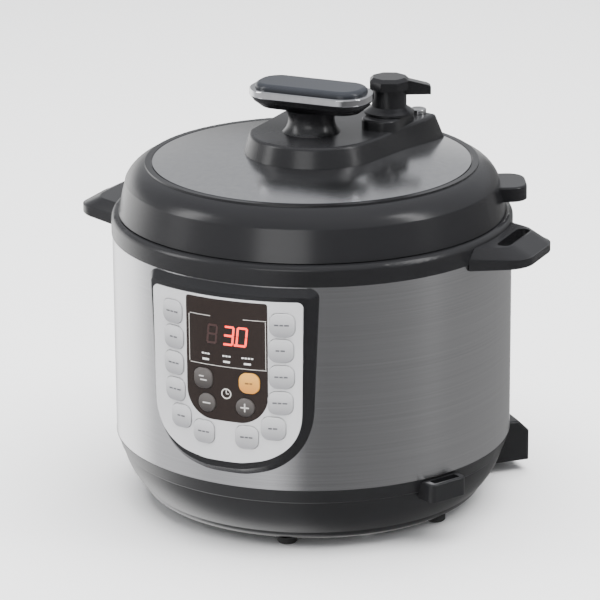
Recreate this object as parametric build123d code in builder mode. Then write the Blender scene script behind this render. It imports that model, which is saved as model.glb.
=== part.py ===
from build123d import *
from math import atan2, cos, degrees, hypot, radians, sin, sqrt
import os

# An electric pressure cooker: steel-clad body with a front control panel and two side
# handles, and a twist-lock lid with a T-shaped grip, a pressure valve and a float valve.
# Millimetres, +Z up, front panel towards -Y. The origin is on the floor below the centre.
# The lid stands in its unlocked place: its ear is lock_turn degrees short of the handle.

# ------------------------------------------------------------------ overall sizes
body_r = 140.0          # outside radius of the steel shell
shell_h = 144.5         # height of the steel shell
base_h = 44.0           # height of the plastic base below the shell
foot_h = 5.0            # how far the feet stand out below the base
collar_h = 14.5         # height of the plastic collar above the shell
lid_band_h = 21.8       # upright band of the lid's outer ring
lid_slope_h = 11.6      # sloped shoulder of the outer ring, from the band to its lip
lock_turn = 27.0        # turn of the lid between unlocked and locked
insulation_gap = 30.0   # from the shell's outside to the inner pot's outside

# ------------------------------------------------------------------ walls and clearances
shell_t = 0.8           # steel shell
wall_t = 2.5            # plastic mouldings
pot_t = 1.5             # inner pot
vessel_t = 2.5          # outer pressure pot
join_gap = 0.1          # between fixed pieces that lie against each other
move_gap = 0.4          # between pieces that move past each other
seat_gap = 0.3          # under a piece that rests on another body
lid_gap = 0.6           # between collar and lid ring
screw_r = 2.0           # housing screws
screw_head_r = 3.8
screw_head_h = 2.4

# ------------------------------------------------------------------ levels and radii
base_z = foot_h
shell_z = base_z + base_h
collar_z = shell_z + shell_h
collar_top = collar_z + collar_h
ring_z = collar_top + lid_gap
crease_z = ring_z + lid_band_h
lip_z = crease_z + lid_slope_h
collar_r = body_r + 0.6
ring_r = body_r - 4.4
crease_r = ring_r - 5.2
lip_r = crease_r - 14.0
disc_r = lip_r - 5.2
pot_r = body_r - insulation_gap


def section(*points, plane=Plane.XZ):
    """A closed straight-sided outline on a plane; on XZ its points are (radius, height)."""
    with BuildSketch(plane) as outline:
        with BuildLine():
            Polyline(*points, close=True)
        make_face()
    return outline.sketch


def sleeve(r_in, r_out, z_low, z_high):
    """A ring-shaped solid about the Z axis."""
    with BuildPart() as ring:
        with BuildSketch(Plane.XY.offset(z_low)):
            Circle(r_out)
            if r_in > 0:
                Circle(r_in, mode=Mode.SUBTRACT)
        extrude(amount=z_high - z_low)
    return ring.part


def spoke(heading):
    """A level plane at the origin whose X direction points along a heading in degrees."""
    return Plane.XY.rotated((0, 0, heading))


def upright(heading):
    """An upright plane through the Z axis: X runs out along a heading, Y runs up."""
    angle = radians(heading)
    return Plane(origin=(0, 0, 0), x_dir=(cos(angle), sin(angle), 0), z_dir=(sin(angle), -cos(angle), 0))


def facing(heading, distance, height):
    """An upright plane at a distance from the Z axis, facing outwards along a heading."""
    away = (cos(radians(heading)), sin(radians(heading)), 0)
    across = (-sin(radians(heading)), cos(radians(heading)), 0)
    place = (distance * away[0], distance * away[1], height)
    return Plane(origin=place, x_dir=across, z_dir=away)


def save(builder, label):
    """Name a finished piece and write it to its own file."""
    builder.part.label = label
    export_step(builder.part, "parts/" + label + ".step")


os.makedirs("parts", exist_ok=True)

# ------------------------------------------------------------------ base housing
# The black bowl-shaped base moulding that carries everything and closes the bottom.
base_bottom_r = body_r - 23.0
base_waist_r = body_r - 3.2
band_r = body_r + 0.2
band_h = 10.6
band_z = shell_z - band_h
band_step = 0.9
shell_seat_h = 9.0
shell_seat_root = 2.3
shell_seat_t = 2.4
bottom_hole_r = base_bottom_r - 17.0
bottom_ledge_h = 3.0

foot_r = 7.0
foot_stem_r = 2.0
foot_place_r = bottom_hole_r + 9.0
foot_headings = (-75.0, -14.0, 105.0, 166.0)
cover_screw_place_r = bottom_hole_r + 2.2
cover_screw_count = 4

inlet_heading = 45.0     # direction of the mains inlet, seen from above, +X being 0
inlet_w = 50.0
inlet_r = body_r + 17.5
socket_w = 27.0
socket_h = 20.0
socket_depth = 24.0
socket_mid_z = base_z + 17.0


def base_outside(grow):
    """Outline of the base's outer surface, moved outwards by grow."""
    with BuildSketch(Plane.XZ) as outline:
        with BuildLine():
            floor_line = Line((0, base_z - grow), (base_bottom_r - 6, base_z - grow))
            toe = ThreePointArc(
                floor_line @ 1,
                (base_bottom_r + 0.8 + 0.7 * grow, base_z + 1.6 - 0.7 * grow),
                (base_bottom_r + 4.5 + grow, base_z + 6.5),
            )
            flank = ThreePointArc(
                toe @ 1,
                (base_bottom_r + 14.6 + grow, base_z + 21.0),
                (base_waist_r - band_step + grow, band_z),
            )
            Polyline(
                flank @ 1,
                (base_waist_r + grow, band_z + band_step),
                (band_r + grow, shell_z),
                (0, shell_z),
                (0, base_z - grow),
            )
        make_face()
    return outline.sketch


with BuildPart() as base_housing:
    revolve(base_outside(0), axis=Axis.Z)
    revolve(
        section(
            (0, shell_z),
            (band_r - wall_t, shell_z),
            (base_waist_r - wall_t - 1, band_z),
            (base_bottom_r + 12.0, base_z + 21.0),
            (base_bottom_r + 1.5, base_z + 8.5),
            (base_bottom_r - 6.0, base_z + bottom_ledge_h + wall_t),
            (0, base_z + bottom_ledge_h + wall_t),
        ),
        axis=Axis.Z,
        mode=Mode.SUBTRACT,
    )
    add(sleeve(0, bottom_hole_r, base_z - 1, shell_z), mode=Mode.SUBTRACT)
    add(
        sleeve(0, bottom_hole_r + 5, base_z - 1, base_z + bottom_ledge_h - 0.5),
        mode=Mode.SUBTRACT,
    )
    # upright rim that the shell is pushed over
    shell_seat_r = body_r - shell_t - join_gap
    with BuildSketch(Plane.XY.offset(shell_z - shell_seat_root)):
        Circle(shell_seat_r)
        Circle(shell_seat_r - shell_seat_t, mode=Mode.SUBTRACT)
    extrude(amount=shell_seat_root + shell_seat_h)
    # holes for the feet's stems and the cover screws
    with BuildSketch(Plane.XY.offset(base_z - 1)):
        for heading in foot_headings:
            with Locations(spoke(heading).location):
                with Locations((foot_place_r, 0)):
                    Circle(foot_stem_r + join_gap)
        with PolarLocations(cover_screw_place_r, cover_screw_count, start_angle=45):
            Circle(screw_r + join_gap)
    extrude(amount=shell_z - base_z, mode=Mode.SUBTRACT)
    # opening behind the inlet
    with BuildSketch(facing(inlet_heading, inlet_r, socket_mid_z)):
        RectangleRounded(socket_w + 2 * join_gap, socket_h + 2 * join_gap, 3)
    extrude(amount=-60, mode=Mode.SUBTRACT)
save(base_housing, "base_housing")

# ------------------------------------------------------------------ bottom cover
# A vented disc let into the base from below and held by four screws.
vent_l = 26.0
vent_w = 4.0
vent_count = 12
cover_t = 2.4
board_post_h = 16.0
board_post_r = 3.5
board_posts = ((-38.0, -24.0), (-38.0, 24.0), (38.0, -24.0), (38.0, 24.0))
with BuildPart() as bottom_cover:
    with BuildSketch(Plane.XY.offset(base_z)):
        Circle(bottom_hole_r + 5 - join_gap)
    extrude(amount=cover_t)
    with BuildSketch(Plane.XY.offset(base_z)):
        with PolarLocations(bottom_hole_r * 0.78, vent_count, start_angle=15):
            SlotOverall(vent_l, vent_w)
        with PolarLocations(cover_screw_place_r, cover_screw_count, start_angle=45):
            Circle(screw_r + join_gap)
    extrude(amount=cover_t, mode=Mode.SUBTRACT)
    with BuildSketch(Plane.XY.offset(base_z + cover_t)):
        with Locations(*board_posts):
            Circle(board_post_r)
    extrude(amount=board_post_h)
save(bottom_cover, "bottom_cover")

# Four screws that hold the cover to the base's inner ledge.
with BuildPart() as base_screws:
    with BuildSketch(Plane.XY.offset(base_z - join_gap)):
        with PolarLocations(cover_screw_place_r, cover_screw_count, start_angle=45):
            Circle(screw_head_r)
    extrude(amount=-screw_head_h)
    with BuildSketch(Plane.XY.offset(base_z - 1)):
        with PolarLocations(cover_screw_place_r, cover_screw_count, start_angle=45):
            Circle(screw_r)
    extrude(amount=9)
save(base_screws, "base_screws")

# Four rubber feet with stems pushed through the base.
with BuildPart() as feet:
    for heading in foot_headings:
        with BuildSketch(spoke(heading)):
            with Locations((foot_place_r, 0)):
                Circle(foot_r)
    extrude(amount=base_z - join_gap)
    chamfer(feet.edges().group_by(Axis.Z)[0], 1.0)
    for heading in foot_headings:
        with BuildSketch(spoke(heading).offset(base_z - 1)):
            with Locations((foot_place_r, 0)):
                Circle(foot_stem_r)
    extrude(amount=8.5)
save(feet, "feet")

# ------------------------------------------------------------------ steel shell
# One rolled sheet round the body, with a window behind the control panel.
panel_top = collar_z - 0.5
window_half_w = 54.5
window_low_half_w = 53.4
window_top = panel_top - 6.1
window_low = panel_top - 122.5
window_corner = 5.0
bowl_drop = 75.0
front_y = body_r + 16.0


def shield(half_top, half_low, top, height, corner, fullness=2.6, steps=6):
    """Panel outline: straight sides above a full, rounded lower end."""
    low = top - bowl_drop
    depth = height - bowl_drop
    turns = [90 * index / (steps + 1) for index in range(1, steps + 1)]
    with BuildSketch(Plane.XZ) as outline:
        with BuildLine():
            side = Line((half_top, top), (half_low, low))
            curve = [
                (
                    half_low * cos(radians(turn)) ** (2 / fullness),
                    low - depth * sin(radians(turn)) ** (2 / fullness),
                )
                for turn in turns
            ]
            Spline(side @ 1, *curve, (0, low - depth), tangents=[side % 1, (-1, 0)])
            mirror(about=Plane.YZ)
            Line((-half_top, top), (half_top, top))
        make_face()
        fillet(outline.vertices().filter_by(lambda v: v.Y > top - 1), corner)
    return outline.sketch


def curved(sketch, r_in, r_out):
    """The part of a forward extrusion of an outline that lies between two cylinders."""
    with BuildPart() as slab:
        extrude(sketch, amount=front_y)
        add(sleeve(r_in, r_out, 0, collar_top + 50), mode=Mode.INTERSECT)
    return slab.part


def window_shape(inset):
    """Outline of the shell's window, moved inwards by an inset."""
    return shield(
        window_half_w - inset,
        window_low_half_w - inset,
        window_top - inset,
        window_top - window_low - 2 * inset,
        window_corner - inset / 2,
    )


with BuildPart() as outer_shell:
    add(sleeve(body_r - shell_t, body_r, shell_z + join_gap, collar_z))
    add(curved(window_shape(0), body_r - 5, body_r + 5), mode=Mode.SUBTRACT)
save(outer_shell, "outer_shell")

# ------------------------------------------------------------------ collar
# Black ring that plugs into the shell's top and carries the pressure vessel.
collar_edge = 4.0
collar_wall = 4.7
collar_seat_r = body_r - 8.5
ledge_z = collar_top - 4.6
ledge_t = 3.0
ledge_r = collar_seat_r - 4.2
collar_lip_h = 3.0
handle_screw_heading = 11.5
handle_screw_z = collar_z + 2.6
with BuildPart() as upper_collar:
    revolve(
        section(
            (collar_r, collar_z + join_gap),
            (collar_r, collar_top),
            (collar_seat_r, collar_top),
            (collar_seat_r, ledge_z),
            (ledge_r, ledge_z),
            (ledge_r, ledge_z - ledge_t),
            (collar_r - collar_wall, ledge_z - ledge_t),
            (collar_r - collar_wall, collar_z - collar_lip_h),
            (body_r - shell_t - join_gap, collar_z - collar_lip_h),
            (body_r - shell_t - join_gap, collar_z + join_gap),
        ),
        axis=Axis.Z,
    )
    rims = upper_collar.edges().filter_by(GeomType.CIRCLE)
    fillet(rims.filter_by(lambda e: e.center().Z > collar_top - 0.1 and e.radius > collar_r - 1), collar_edge)
    for heading in (0, 180):
        for side in (-handle_screw_heading, handle_screw_heading):
            with BuildSketch(facing(heading + side, body_r / 2, handle_screw_z)):
                Circle(screw_r + join_gap)
            extrude(amount=body_r, mode=Mode.SUBTRACT)
save(upper_collar, "upper_collar")

# ------------------------------------------------------------------ side handles
# Two carrying handles screwed to the collar from inside; only the right one has a slot.
handle_out = body_r + 32.0
handle_half = 27.0
handle_corner = 18.0
handle_root_x = body_r - 20.0
handle_root_half = 44.8
handle_low = collar_z - 4.5
handle_rim = collar_z + 4.0
handle_top = collar_z + 11.0
crown_out = handle_out - 14.0
crown_half = handle_half - 3.0
slot_x = body_r + 7.0
slot_w = 9.5
slot_half = 22.0


def handle_outline(height, out, half, root_half, corner):
    """Plan of a handle, pointing along +X."""
    with BuildSketch(Plane.XY.offset(height)) as outline:
        with BuildLine():
            Polyline(
                (handle_root_x, -root_half),
                (out, -half),
                (out, half),
                (handle_root_x, root_half),
                close=True,
            )
        make_face()
        fillet(outline.vertices().sort_by(Axis.X)[2:], corner)
    return outline.sketch


with BuildPart() as handle_body:
    add(handle_outline(handle_low, handle_out, handle_half, handle_root_half, handle_corner))
    extrude(amount=handle_rim - handle_low)
    loft(
        [
            handle_outline(handle_rim, handle_out - 0.6, handle_half - 0.6, handle_root_half - 0.6, handle_corner),
            handle_outline(handle_top, crown_out, crown_half, handle_root_half - 4, handle_corner - 4),
        ]
    )
    # the underside rises a little towards the tip
    extrude(
        section(
            (handle_root_x - 5, handle_low - 2),
            (handle_out + 5, handle_low - 2),
            (handle_out + 5, handle_low + 2.7),
            (body_r - 4, handle_low),
            (handle_root_x - 5, handle_low),
        ),
        amount=2 * handle_root_half,
        both=True,
        mode=Mode.SUBTRACT,
    )
    add(sleeve(0, collar_r + join_gap, handle_low - 5, handle_top + 5), mode=Mode.SUBTRACT)
    outer_edges = handle_body.edges().filter_by(lambda e: e.center().X > handle_out - 17)
    fillet(outer_edges.group_by(Axis.Z)[0], 1.2)
    for side in (-handle_screw_heading, handle_screw_heading):
        with BuildSketch(facing(side, body_r - 10, handle_screw_z)):
            Circle(screw_r + join_gap)
        extrude(amount=20.2, mode=Mode.SUBTRACT)

with BuildPart() as right_handle:
    add(handle_body.part)
    with BuildSketch(Plane.XY.offset(handle_low - 5)):
        with Locations((slot_x + slot_w / 2, 0)):
            SlotOverall(2 * slot_half, slot_w, rotation=90)
    extrude(amount=handle_top - handle_low + 10, mode=Mode.SUBTRACT)
save(right_handle, "right_handle")

with BuildPart() as left_handle:
    add(handle_body.part, rotation=(0, 0, 180))
save(left_handle, "left_handle")

with BuildPart() as handle_screws:
    for heading in (0, 180):
        for side in (-handle_screw_heading, handle_screw_heading):
            inside = collar_r - collar_wall - join_gap
            with BuildSketch(facing(heading + side, inside, handle_screw_z)):
                Circle(screw_head_r)
            extrude(amount=-screw_head_h)
            with BuildSketch(facing(heading + side, inside - 1, handle_screw_z)):
                Circle(screw_r)
            extrude(amount=body_r + 10 - inside)
save(handle_screws, "handle_screws")

# ------------------------------------------------------------------ pressure vessel
# Fixed outer pot hung from the collar; its rim has lugs that hold the lid's teeth.
vessel_in_r = pot_r + 2.5
vessel_out_r = vessel_in_r + vessel_t
rim_in_r = pot_r + 14.0
rim_out_r = rim_in_r + vessel_t
rim_z = ledge_z + join_gap
rim_t = 2.5
rim_flange_r = collar_seat_r - 1.5
lug_t = 4.0
lug_r = pot_r + 8.0
lug_count = 6
lug_angle = 24.0
tooth_gap = 0.6
tooth_angle = 26.0
tooth_r = lug_r + 4.0
tooth_top = rim_z + rim_t - lug_t - tooth_gap
tooth_t = 3.9
seal_h = 7.4
seal_top = tooth_top - tooth_t - move_gap
pot_rim_top = seal_top - seal_h - move_gap
shelf_z = pot_rim_top - pot_t - seat_gap
floor_z = shell_z + 7.0
well_r = 12.5
well_z = floor_z - 9.0
plate_z = floor_z + join_gap
plate_t = 5.5
pot_z = plate_z + plate_t + move_gap


def teeth(r_in, r_out, span, start, z_low, height):
    """Equally spaced ring segments about the Z axis."""
    with BuildPart() as ring:
        for index in range(lug_count):
            middle = start + index * 360 / lug_count
            with BuildSketch(spoke(middle).offset(z_low)):
                with BuildLine():
                    half = span / 2
                    inner = CenterArc((0, 0), r_in, -half, span)
                    outer = CenterArc((0, 0), r_out, -half, span)
                    Line(inner @ 0, outer @ 0)
                    Line(inner @ 1, outer @ 1)
                make_face()
            extrude(amount=height)
    return ring.part


with BuildPart() as outer_pot:
    revolve(
        section(
            (0, well_z - vessel_t),
            (well_r + vessel_t, well_z - vessel_t),
            (well_r + vessel_t, floor_z - vessel_t),
            (vessel_out_r - 6, floor_z - vessel_t),
            (vessel_out_r, floor_z + 6 - vessel_t),
            (vessel_out_r, shelf_z - vessel_t),
            (rim_out_r, shelf_z - vessel_t),
            (rim_out_r, rim_z),
            (rim_flange_r, rim_z),
            (rim_flange_r, rim_z + rim_t),
            (rim_in_r, rim_z + rim_t),
            (rim_in_r, shelf_z),
            (vessel_in_r, shelf_z),
            (vessel_in_r, floor_z + 5),
            (vessel_in_r - 5, floor_z),
            (well_r, floor_z),
            (well_r, well_z),
            (0, well_z),
        ),
        axis=Axis.Z,
    )
    add(teeth(lug_r, rim_in_r + 0.5, lug_angle, 0, rim_z + rim_t - lug_t, lug_t))
save(outer_pot, "outer_pot")

# Aluminium heating plate in the vessel's bottom, round the sensor.
plate_r = pot_r * 0.8
with BuildPart() as heating_plate:
    add(sleeve(well_r, plate_r, plate_z, plate_z + plate_t))
    chamfer(heating_plate.edges().group_by(Axis.Z)[-1].sort_by(SortBy.RADIUS)[-1], 2.0)
save(heating_plate, "heating_plate")

# Sprung cap that feels the inner pot's temperature.
sensor_r = well_r - 2.5
sensor_travel = 1.5
sensor_top = pot_z - seat_gap
with BuildPart() as thermal_sensor_cap:
    add(sleeve(0, sensor_r, sensor_top - 10, sensor_top))
    add(sleeve(0, sensor_r - 1, sensor_top - 11, sensor_top - 1.2), mode=Mode.SUBTRACT)
    chamfer(thermal_sensor_cap.edges().group_by(Axis.Z)[-1], 0.5)
save(thermal_sensor_cap, "thermal_sensor_cap")

spring_wire = 0.6
spring_r = sensor_r - 3.0
spring_low = well_z + join_gap + spring_wire
spring_h = sensor_top - 1.2 - sensor_travel - move_gap - spring_wire - spring_low
with BuildPart() as sensor_spring:
    with BuildLine():
        coil = Helix(pitch=spring_h / 4, height=spring_h, radius=spring_r, center=(0, 0, spring_low))
    with BuildSketch(Plane(origin=coil @ 0, z_dir=coil % 0)):
        Circle(spring_wire)
    sweep(path=coil)
save(sensor_spring, "sensor_spring")

# ------------------------------------------------------------------ inner pot
# Removable steel pot whose rolled rim rests on the vessel's shelf.
pot_rim_r = pot_r + 7.0
pot_bend = 9.0
with BuildPart() as inner_pot:
    with BuildSketch(Plane.XZ):
        with BuildLine():
            bottom_out = Line((0, pot_z), (pot_r - pot_bend, pot_z))
            bend_out = RadiusArc(bottom_out @ 1, (pot_r, pot_z + pot_bend), -pot_bend)
            wall_out = Line(bend_out @ 1, (pot_r, pot_rim_top - pot_t))
            rim_low = Line(wall_out @ 1, (pot_rim_r, pot_rim_top - pot_t))
            rim_end = Line(rim_low @ 1, (pot_rim_r, pot_rim_top))
            rim_up = Line(rim_end @ 1, (pot_r - pot_t, pot_rim_top))
            wall_in = Line(rim_up @ 1, (pot_r - pot_t, pot_z + pot_bend))
            bend_in = RadiusArc(wall_in @ 1, (pot_r - pot_bend, pot_z + pot_t), pot_bend - pot_t)
            bottom_in = Line(bend_in @ 1, (0, pot_z + pot_t))
            Line(bottom_in @ 1, bottom_out @ 0)
        make_face()
    revolve(axis=Axis.Z)
save(inner_pot, "inner_pot")

# ------------------------------------------------------------------ control panel
# Bezel with sloped edges, screwed-in board, pale key plate, dark centre and sixteen keys.
# Heights on the panel are given below panel_top; the shell's curve is kept by sleeves.
bezel_r = body_r + 6.0
bezel_top_half = 63.2
bezel_low_half = 60.0
bezel_h = 134.0
plate_front_r = bezel_r + 1.2
panel_plate_half = 55.7
panel_plate_low_half = 54.6
panel_plate_drop = 8.2
panel_plate_h = 124.0
bezel_corner = 7.0
bezel_slope = 5.0
bezel_floor_t = 1.5
skirt_t = 2.0
skirt_r = body_r - 3.0
ridge_w = 24.0
key_w = 16.4
key_corner = 5.6
key_gap = 0.3
key_r = bezel_r + 2.3
key_back_r = bezel_r - 2.4
key_stem_r = 2.0
key_travel = 0.8
panel_mid_x = 2.3
side_keys = (
    (40.4, 23.9),
    (39.5, 41.8),
    (39.8, 60.3),
    (38.9, 78.8),
    (34.1, 97.1),
    (15.9, 104.8),
)
centre_key_w = 14.4
centre_keys = ((-13.4, 66.6, "timer"), (20.4, 66.2, "start"), (-10.8, 83.6, "minus"), (17.4, 83.6, "plus"))
round_key_r = 6.6
dark_mid_x = 3.2
dark_half = 29.8
dark_top = panel_top - 9.6
dark_low = panel_top - 95.0
dark_corner = 20.0
window_low_z = panel_top - 46.0
window_high_z = panel_top - 23.0
window_left = -15.6
window_right = 29.4
board_y = body_r - 11.4
board_t = 1.6
board_half = 46.5
post_places = ((-43.0, panel_top - 11.4), (43.0, panel_top - 11.4), (panel_mid_x, panel_top - 108.5))
switch_h = 3.4
switch_w = 6.0
key_end_y = board_y + switch_h + key_travel + move_gap


def key_shape(x, z, width, rounded, grow=0.0):
    """Outline of one key, centred at x and z, moved outwards by grow."""
    with BuildSketch(Plane.XZ) as outline:
        with Locations((x, z)):
            if rounded:
                Circle(round_key_r + grow)
            else:
                RectangleRounded(width + 2 * grow, width + 2 * grow, key_corner + grow)
    return outline.sketch


keys = []
for side, label in ((-1, "left"), (1, "right")):
    for index, (offset_x, drop) in enumerate(side_keys):
        keys.append((panel_mid_x + side * offset_x, panel_top - drop, key_w, False, f"key_{label}_{index + 1}"))
for key_x, drop, label in centre_keys:
    rounded = label in ("minus", "plus")
    keys.append((key_x, panel_top - drop, centre_key_w, rounded, "key_" + label))

with BuildSketch(Plane.XZ) as dark_outline:
    with BuildLine():
        Polyline(
            (dark_mid_x - dark_half, dark_top),
            (dark_mid_x - dark_half, dark_low),
            (dark_mid_x + dark_half, dark_low),
            (dark_mid_x + dark_half, dark_top),
            close=True,
        )
    make_face()
    fillet(dark_outline.vertices().group_by(Axis.Y)[0], dark_corner)
    fillet(dark_outline.vertices().group_by(Axis.Y)[-1], 2.0)

with BuildSketch(Plane.XZ) as display_outline:
    with Locations(((window_left + window_right) / 2, (window_low_z + window_high_z) / 2)):
        RectangleRounded(window_right - window_left, window_high_z - window_low_z, 1.5)

plate_top = panel_top - panel_plate_drop
plate_shape = shield(panel_plate_half, panel_plate_low_half, plate_top, panel_plate_h - panel_plate_drop, 4)
with BuildPart() as skirt:
    add(curved(window_shape(join_gap), skirt_r, body_r + 1.5))
    add(curved(window_shape(join_gap + skirt_t), skirt_r - 1, body_r + 5), mode=Mode.SUBTRACT)

with BuildPart() as board_bosses:
    with BuildSketch(Plane.XZ.offset(board_y + join_gap)):
        with Locations(*post_places):
            Circle(3.0)
    extrude(amount=bezel_r - board_y)
    with BuildSketch(Plane.XZ.offset(board_y)):
        with Locations(*post_places):
            Circle(1.2 + join_gap)
    extrude(amount=6, mode=Mode.SUBTRACT)
    add(sleeve(0, bezel_r - bezel_floor_t + 0.5, 0, panel_top), mode=Mode.INTERSECT)

with BuildPart() as panel_bezel:
    add(curved(shield(bezel_top_half, bezel_low_half, panel_top, bezel_h, bezel_corner), body_r + join_gap, bezel_r))
    front_rim = panel_bezel.faces().sort_by(SortBy.AREA)[-2:].sort_by(Axis.Y)[0]
    chamfer(front_rim.outer_wire().edges(), bezel_slope)
    # hollow behind the floor that carries the key plate
    inner = shield(
        panel_plate_half - 3,
        panel_plate_low_half - 3,
        plate_top - 2,
        panel_plate_h - panel_plate_drop - 5,
        4,
    )
    add(curved(inner, body_r - 5, bezel_r - bezel_floor_t), mode=Mode.SUBTRACT)
    # skirt through the shell's window, with a snap ridge at its top and bottom
    add(skirt.part)
    with BuildSketch(Plane.XZ) as ridges:
        with Locations((0, window_top + 0.4), (0, window_low - 0.4)):
            Rectangle(ridge_w, 3.6)
    add(curved(ridges.sketch, skirt_r, body_r - shell_t - 0.3))
    add(board_bosses.part)
    # openings for keys and display
    for key_x, key_z, width, rounded, label in keys:
        add(curved(key_shape(key_x, key_z, width, rounded, key_gap), body_r - 5, bezel_r + 1), mode=Mode.SUBTRACT)
    add(curved(offset(display_outline.sketch, 0.8, mode=Mode.PRIVATE), body_r - 5, bezel_r + 1), mode=Mode.SUBTRACT)
save(panel_bezel, "panel_bezel")

# Pale key plate with openings for the keys and the dark centre.
with BuildPart() as panel_overlay:
    add(curved(plate_shape, bezel_r + join_gap, plate_front_r))
    add(curved(offset(dark_outline.sketch, join_gap, mode=Mode.PRIVATE), bezel_r - 1, front_y), mode=Mode.SUBTRACT)
    for key_x, key_z, width, rounded, label in keys:
        if "left" in label or "right" in label:
            add(curved(key_shape(key_x, key_z, width, rounded, key_gap), bezel_r - 1, front_y), mode=Mode.SUBTRACT)
save(panel_overlay, "panel_overlay")

# Dark glossy centre with the display behind its upper part.
with BuildPart() as display_window:
    add(curved(dark_outline.sketch, bezel_r + join_gap, plate_front_r + 0.1))
    for key_x, key_z, width, rounded, label in keys:
        if "left" not in label and "right" not in label:
            add(curved(key_shape(key_x, key_z, width, rounded, key_gap), bezel_r - 1, front_y), mode=Mode.SUBTRACT)
save(display_window, "display_window")

# Sixteen keys that slide straight back towards the flat board.
for key_x, key_z, width, rounded, label in keys:
    with BuildPart() as key:
        add(curved(key_shape(key_x, key_z, width, rounded), key_back_r, key_r))
        chamfer(key.faces().sort_by(Axis.Y)[0].outer_wire().edges(), 0.5)
        with BuildSketch(Plane.XZ.offset(key_end_y)):
            with Locations((key_x, key_z)):
                Circle(key_stem_r)
        extrude(until=Until.NEXT)
    save(key, label)

# Board with one switch behind every key, the display module and the board's screws.
with BuildPart() as control_board:
    with BuildSketch(Plane.XZ.offset(board_y - board_t)):
        with Locations((0, (window_top + window_low) / 2 + 3)):
            Rectangle(2 * board_half, window_top - window_low - 13)
        with Locations(*post_places):
            Circle(1.2 + join_gap, mode=Mode.SUBTRACT)
    extrude(amount=board_t)
    with BuildSketch(Plane.XZ.offset(board_y)):
        for key_x, key_z, width, rounded, label in keys:
            with Locations((key_x, key_z)):
                Rectangle(switch_w, switch_w)
    extrude(amount=switch_h)
save(control_board, "control_board")

with BuildPart() as display_module:
    with BuildSketch(Plane.XZ.offset(board_y + join_gap)):
        with Locations(((window_left + window_right) / 2, (window_low_z + window_high_z) / 2)):
            Rectangle(window_right - window_left + 1, window_high_z - window_low_z + 1)
    extrude(amount=bezel_r - board_y - 5.8)
save(display_module, "display_module")

with BuildPart() as board_screws:
    with BuildSketch(Plane.XZ.offset(board_y - board_t - join_gap)):
        with Locations(*post_places):
            Circle(2.6)
    extrude(amount=-1.8)
    with BuildSketch(Plane.XZ.offset(board_y - board_t - 1)):
        with Locations(*post_places):
            Circle(1.2)
    extrude(amount=7)
save(board_screws, "board_screws")

# ------------------------------------------------------------------ accessory socket
# Small black pocket on the base, to the right of the panel, for hanging a spoon rest.
pocket_heading = -27.0
pocket_w = 31.0
pocket_front_r = body_r + 10.0
pocket_top = shell_z - 1.5
pocket_low = pocket_top - 13.0
pocket_slot_w = 22.0
pocket_slot_depth = 9.0
pocket_slot_r = body_r + 1.8
pocket_slot_t = 5.8
with BuildPart() as accessory_socket:
    with BuildSketch(spoke(pocket_heading).offset(pocket_low)):
        with Locations((body_r, 0)):
            Rectangle(2 * (pocket_front_r - body_r), pocket_w)
    extrude(amount=pocket_top - pocket_low)
    uprights = accessory_socket.edges().filter_by(Axis.Z)
    fillet(uprights.sort_by(lambda e: -hypot(e.center().X, e.center().Y))[0:2], 4)
    fillet(accessory_socket.faces().sort_by(Axis.Z)[-1].edges(), 1.2)
    with BuildSketch(spoke(pocket_heading).offset(pocket_top - pocket_slot_depth)):
        with Locations((pocket_slot_r + pocket_slot_t / 2, 0)):
            RectangleRounded(pocket_slot_t, pocket_slot_w, 1.0)
    extrude(amount=pocket_slot_depth + 1, mode=Mode.SUBTRACT)
    revolve(base_outside(join_gap), axis=Axis.Z, mode=Mode.SUBTRACT)
    add(sleeve(0, body_r - 4, shell_z - 20, shell_z + 1), mode=Mode.SUBTRACT)
save(accessory_socket, "accessory_socket")

# ------------------------------------------------------------------ mains inlet
# Hooded inlet at the back right of the base with three blades; no cord is fitted.
inlet_hood_low = base_z + 3.0
inlet_hood_top = base_z + 33.0
inlet_slope = 8.0
inlet_wall = 2.0
inlet_floor_t = 3.0
inlet_inside_r = base_bottom_r - 8.0
inlet_side = upright(inlet_heading)


def inlet_box(r_in, r_out, width, height, corner):
    """A rounded bar along the inlet's heading between two distances from the Z axis."""
    with BuildPart() as bar:
        with BuildSketch(facing(inlet_heading, r_in, socket_mid_z)):
            RectangleRounded(width, height, corner)
        extrude(amount=r_out - r_in)
    return bar.part


with BuildPart() as inlet_housing:
    extrude(
        section(
            (base_bottom_r, inlet_hood_low),
            (inlet_r, inlet_hood_low),
            (inlet_r, inlet_hood_top - inlet_slope),
            (inlet_r - inlet_slope, inlet_hood_top),
            (base_bottom_r, inlet_hood_top),
            plane=inlet_side,
        ),
        amount=inlet_w / 2,
        both=True,
    )
    outside = inlet_housing.edges().filter_by(lambda e: e.center().Z > inlet_hood_low + 1)
    fillet(outside.filter_by(lambda e: hypot(e.center().X, e.center().Y) > base_bottom_r + 8), 2.0)
    revolve(base_outside(join_gap), axis=Axis.Z, mode=Mode.SUBTRACT)
    add(inlet_box(inlet_inside_r, inlet_r - 6, socket_w, socket_h, 3 - join_gap))
    add(
        inlet_box(inlet_r - socket_depth, inlet_r + 5, socket_w - 2 * inlet_wall, socket_h - 2 * inlet_wall, 2),
        mode=Mode.SUBTRACT,
    )
    with BuildSketch(facing(inlet_heading, inlet_inside_r, socket_mid_z)):
        with Locations((0, 2.5), (-6, -2.5), (6, -2.5)):
            Rectangle(2 + 2 * join_gap, 5 + 2 * join_gap)
    extrude(amount=30, mode=Mode.SUBTRACT)
save(inlet_housing, "inlet_housing")

with BuildPart() as inlet_pins:
    with BuildSketch(facing(inlet_heading, inlet_inside_r - 4, socket_mid_z)):
        with Locations((0, 2.5), (-6, -2.5), (6, -2.5)):
            Rectangle(2, 5)
    extrude(amount=inlet_r - inlet_inside_r - 3)
save(inlet_pins, "inlet_pins")

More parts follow.
